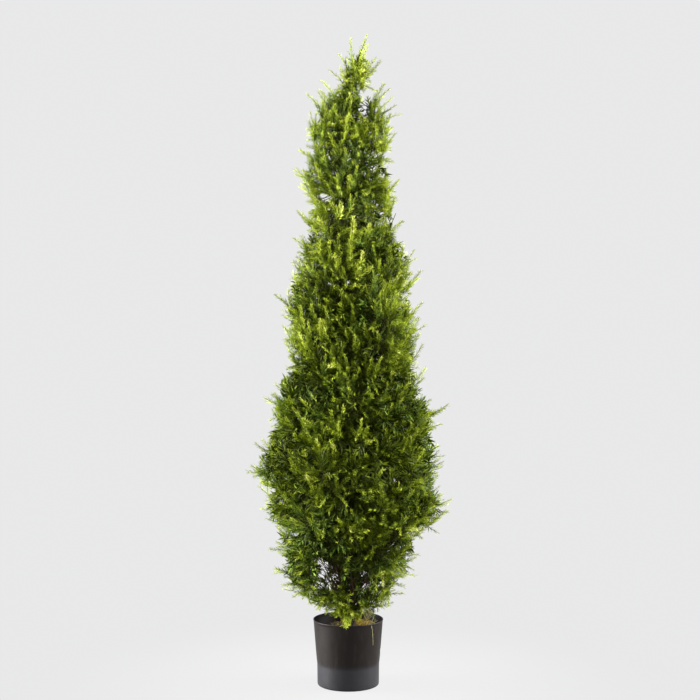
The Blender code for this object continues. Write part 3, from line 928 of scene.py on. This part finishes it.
def fill_height(x, y):
    """Surface of the potting fill: it falls to the wall and is coarse and lumpy."""
    place = Vector((x, y, 0.3))
    lumps = sum(size * noise.noise(place * fineness) for size, fineness in FILL_LUMPS)
    return FILL_TOP - FILL_FALL * (math.hypot(x, y) / FILL_RADIUS) ** 2 + lumps - FILL_SINK


def build_fill(finish, moss, dice):
    def place(radius, height, angle):
        x, y = radius * math.cos(angle), radius * math.sin(angle)
        return (x, y, fill_height(x, y) if height > 0.1 else height)

    profile = [(FILL_RADIUS * i / FILL_RINGS, 0.15) for i in range(FILL_RINGS + 1)]
    profile += FILL_LOWER
    points, faces = turned(profile[::-1], FILL_SIDES, place)
    add_piece("fill_surface", points, faces, finish, ["potting_fill"])
    strands = []
    for number in range(MOSS_STRANDS):
        if number % 6:
            x, y = [dice.gauss(*spread) for spread in MOSS_PATCH]
        else:
            angle, radius = dice.uniform(0, 2 * math.pi), 0.086 * math.sqrt(dice.uniform(0.05, 1))
            x, y = radius * math.cos(angle), radius * math.sin(angle)
        if math.hypot(x, y) > MOSS_REACH:
            continue
        start = Vector((x, y, fill_height(x, y) - 0.001))
        turn = dice.uniform(0, 2 * math.pi)
        way = Vector((math.cos(turn), math.sin(turn), dice.uniform(0.1, 0.9))) * dice.uniform(*MOSS_LENGTHS)
        bend = start + way * 0.6 + UP * 0.002
        path = [curve(start, bend, start + way, t) for t in (0, 0.35, 0.7, 1)]
        strands.append(tube(path, MOSS_RADII, 3))
    points, faces = joined(strands)
    add_piece("moss", points, faces, moss, ["potting_fill"])


def limb_curve(centres, count):
    """More places along a limb, on a smooth curve through its ring centres."""
    ends = [centres[0] * 2 - centres[1], *centres, centres[-1] * 2 - centres[-2]]
    found = []
    for i in range(count):
        at = (len(centres) - 1) * i / (count - 1)
        k = min(int(at), len(centres) - 2)
        t = at - k
        a, b, c, d = ends[k : k + 4]
        squared = 2 * a - 5 * b + 4 * c - d
        cubed = 3 * b - a - 3 * c + d
        found.append(0.5 * (2 * b + (c - a) * t + squared * t**2 + cubed * t**3))
    return found


def bark_tube(centres, radii, sides, step, swelling):
    """A limb with flaking, ridged bark."""
    length = sum((b - a).length for a, b in zip(centres, centres[1:]))
    count = max(8, int(length / step))
    path = limb_curve(centres, count)
    shares = [i / (count - 1) for i in range(count)]
    own = np.interp(shares, [i / (len(radii) - 1) for i in range(len(radii))], radii)
    own = [float(radius) * (1 + swelling * math.exp(-share * 14)) for radius, share in zip(own, shares)]
    points, faces = tube(path, own, sides)
    for i in range(count):
        for number in range(i * sides, (i + 1) * sides):
            place = Vector(points[number])
            ridges = noise.noise(place * Vector(RIDGES))
            flakes = noise.noise(place * FLAKES + Vector((7, 3, 1)))
            points[number] = place + (place - path[i]) * (RIDGE_RELIEF * ridges + FLAKE_RELIEF * flakes)
    return points, faces


def build_bark(trunk_finish, bough_finish):
    centres, radii = ring_centres("trunk", TRUNK_RINGS)
    points, faces = bark_tube(centres, radii, *TRUNK_BARK)
    add_piece("trunk_bark_mesh", points, faces, trunk_finish, ["trunk"])
    nodes = [f"bough_{name}" for name in BOUGH_NAMES]
    boughs = []
    for node in nodes:
        centres, radii = ring_centres(node, BOUGH_RINGS)
        centres[0] = centres[0] - (centres[1] - centres[0]).normalized() * BOUGH_SUNK
        boughs.append(bark_tube(centres, radii, *BOUGH_BARK))
    points, faces = joined(boughs)
    add_piece("bough_bark_mesh", points, faces, bough_finish, nodes)


# Materials


def add_node(tree, kind, inputs=(), **settings):
    """A shader node; each of its inputs is set to a value or linked to another node's output."""
    node = tree.nodes.new(kind)
    for name, value in settings.items():
        setattr(node, name, value)
    for socket, value in dict(inputs).items():
        if isinstance(value, bpy.types.NodeSocket):
            tree.links.new(value, node.inputs[socket])
        else:
            node.inputs[socket].default_value = value
    return node


def plain(name, colour, roughness, specular):
    made = bpy.data.materials.new(name)
    made.use_nodes = True
    shader = made.node_tree.nodes["Principled BSDF"]
    shader.inputs["Base Color"].default_value = (*colour, 1.0)
    shader.inputs["Roughness"].default_value = roughness
    shader.inputs["Specular IOR Level"].default_value = specular
    return made


def noise_share(tree, scale, detail, stretch=(1, 1, 1), low=0.35, high=0.65):
    """A 0 to 1 pattern fixed to the part."""
    place = add_node(tree, "ShaderNodeTexCoord").outputs["Object"]
    sized = add_node(tree, "ShaderNodeMapping", {"Vector": place, "Scale": stretch}).outputs["Vector"]
    pattern = add_node(tree, "ShaderNodeTexNoise", {"Vector": sized, "Scale": scale, "Detail": detail})
    bounds = {"Value": pattern.outputs["Fac"], "From Min": low, "From Max": high}
    return add_node(tree, "ShaderNodeMapRange", bounds).outputs["Result"]


def smooth_step(tree, value, low, high):
    """0 where the value is below one bound and 1 where it is above the other."""
    bounds = {"Value": value, "From Min": low, "From Max": high}
    return add_node(tree, "ShaderNodeMapRange", bounds, interpolation_type="SMOOTHSTEP").outputs["Result"]


def blend(tree, share, low, high):
    """A colour between two, each a colour or the output of another blend."""
    low, high = [(*end, 1.0) if isinstance(end, tuple) else end for end in (low, high)]
    colours = {0: share, 6: low, 7: high}  # the node's sockets for colours, whose names aren't unique
    return add_node(tree, "ShaderNodeMix", colours, data_type="RGBA").outputs[2]


def patterned(name, roughness, specular, relief, relief_pattern, base):
    """A material whose colour, sheen and fine relief vary; base(tree) gives its colour."""
    made = plain(name, (0, 0, 0), sum(roughness) / 2, specular)
    tree = made.node_tree
    shader = tree.nodes["Principled BSDF"]
    tree.links.new(base(tree), shader.inputs["Base Color"])
    bounds = {"Value": noise_share(tree, 26, 5), "To Min": roughness[0], "To Max": roughness[1]}
    tree.links.new(add_node(tree, "ShaderNodeMapRange", bounds).outputs["Result"], shader.inputs["Roughness"])
    height = noise_share(tree, *relief_pattern)
    bump = add_node(tree, "ShaderNodeBump", {"Height": height, "Distance": relief, "Strength": 0.6})
    tree.links.new(bump.outputs["Normal"], shader.inputs["Normal"])
    return made


def pot_plastic():
    def base(tree):
        wall = blend(tree, noise_share(tree, 90, 6, (1, 1, 0.25), 0.52, 0.80), *POT_COLOURS)
        # the band's colour is a painted reflection of the floor
        band_reflection = blend(tree, noise_share(tree, 14, 4), *BAND_FLOOR_REFLECTION_COLOURS)
        place = add_node(tree, "ShaderNodeTexCoord").outputs["Object"]
        height = add_node(tree, "ShaderNodeSeparateXYZ", {"Vector": place}).outputs["Z"]
        return blend(tree, smooth_step(tree, height, *FLOOR_REFLECTION_EDGE), band_reflection, wall)

    return patterned("pot_plastic", (0.40, 0.52), 0.12, 0.0003, (45, 3, (1, 1, 0.4)), base)


def potting_fill():
    def base(tree):
        return blend(tree, noise_share(tree, 160, 8), *FILL_COLOURS)

    return patterned("potting_fill", (0.85, 0.98), 0.2, 0.002, (240, 8), base)


def bark(name, dark, light):
    ridges = (60, 8, (6, 6, 0.8))
    highlight = tuple(BARK_HIGHLIGHT * value for value in light)

    def base(tree):
        ridged = blend(tree, noise_share(tree, *ridges), dark, light)
        return blend(tree, noise_share(tree, 22, 3, low=0.55, high=0.75), ridged, highlight)

    return patterned(name, (0.70, 0.92), 0.2, 0.0015, ridges, base)


# Stage


def build_stage():
    """A pale floor that fades into the wall without an edge."""
    mesh = bpy.data.meshes.new("floor")
    turns = [2 * math.pi * i / FLOOR_SIDES for i in range(FLOOR_SIDES)]
    ring = [(FLOOR_RADIUS * math.cos(turn), FLOOR_RADIUS * math.sin(turn), 0) for turn in turns]
    mesh.from_pydata(ring, [], [tuple(range(FLOOR_SIDES))])
    floor = bpy.data.objects.new("floor", mesh)
    bpy.context.scene.collection.objects.link(floor)
    made = bpy.data.materials.new("floor")
    made.use_nodes = True
    tree = made.node_tree
    tree.nodes.clear()
    place = add_node(tree, "ShaderNodeTexCoord").outputs["Object"]
    away = add_node(tree, "ShaderNodeVectorMath", {0: place}, operation="LENGTH").outputs["Value"]
    matt = add_node(tree, "ShaderNodeBsdfDiffuse", {"Color": (FLOOR_GREY, FLOOR_GREY, FLOOR_GREY, 1)})
    glow = add_node(tree, "ShaderNodeEmission", {"Strength": FLOOR_GLOW})
    both = add_node(tree, "ShaderNodeAddShader", {0: matt.outputs["BSDF"], 1: glow.outputs["Emission"]})
    clear = add_node(tree, "ShaderNodeBsdfTransparent").outputs["BSDF"]
    share = smooth_step(tree, away, *FLOOR_FADE)
    mix = add_node(tree, "ShaderNodeMixShader", {0: share, 1: both.outputs["Shader"], 2: clear})
    add_node(tree, "ShaderNodeOutputMaterial", {"Surface": mix.outputs["Shader"]})
    mesh.materials.append(made)


def add_softbox(name, place, target, size, power):
    lamp = bpy.data.lights.new(name, "AREA")
    lamp.shape = "RECTANGLE"
    lamp.size, lamp.size_y = size
    lamp.energy = power
    obj = bpy.data.objects.new(name, lamp)
    obj.location = place
    obj.rotation_euler = (Vector(target) - Vector(place)).to_track_quat("-Z", "Y").to_euler()
    obj.visible_camera = False
    bpy.context.scene.collection.objects.link(obj)


def build_room():
    """The wall, which looks paler to the camera than it lights, the softboxes and the camera."""
    world = bpy.data.worlds.new("room")
    world.use_nodes = True
    tree = world.node_tree
    back = tree.nodes["Background"]
    back.inputs["Color"].default_value = ROOM_COLOUR
    seen = add_node(tree, "ShaderNodeLightPath").outputs["Is Camera Ray"]
    level = add_node(tree, "ShaderNodeMapRange", {"Value": seen, "To Min": ROOM_LIGHT, "To Max": WALL_GREY})
    tree.links.new(level.outputs["Result"], back.inputs["Strength"])
    bpy.context.scene.world = world
    for softbox in SOFTBOXES:
        add_softbox(*softbox)
    camera = bpy.data.objects.new("camera", bpy.data.cameras.new("camera"))
    camera.data.lens = CAMERA_LENS
    camera.location = CAMERA_PLACE
    camera.rotation_euler = (math.radians(90), 0, 0)
    bpy.context.scene.collection.objects.link(camera)
    bpy.context.scene.camera = camera
    bpy.context.scene.view_settings.view_transform = "Standard"


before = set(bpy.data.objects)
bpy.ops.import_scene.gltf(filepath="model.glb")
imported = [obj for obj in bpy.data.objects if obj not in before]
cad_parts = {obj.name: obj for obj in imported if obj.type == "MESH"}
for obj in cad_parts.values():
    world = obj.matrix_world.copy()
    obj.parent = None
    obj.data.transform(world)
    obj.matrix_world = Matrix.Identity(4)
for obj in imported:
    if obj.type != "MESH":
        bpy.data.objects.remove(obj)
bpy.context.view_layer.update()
build_stage()
build_room()

growth = Crown()
limbs = [Limb(name) for name in MASS_NAMES]
for limb in limbs:
    growth.add_twig([limb.at(i / 9) for i in range(10)], LIMB_RADIUS, STEM_RADIUS, sides=6)
grow_sprays(growth, limbs, random.Random(SEED + 4))
fill_crown(growth, random.Random(SEED + 5))
grow_stalks(growth, random.Random(SEED + 7))

greens = [plain(f"green_{i + 1}", colour, 0.6, 0.08) for i, (_, colour) in enumerate(SHADES)]
build_pot(pot_plastic())
build_fill(potting_fill(), plain("dry_moss", MOSS_COLOUR, 0.9, 0.1), random.Random(SEED + 6))
build_bark(bark("trunk_bark", *TRUNK_COLOURS), bark("bough_bark", *BOUGH_COLOURS))
build_foliage(growth, greens, plain("twig", TWIG_COLOUR, 0.8, 0.05))
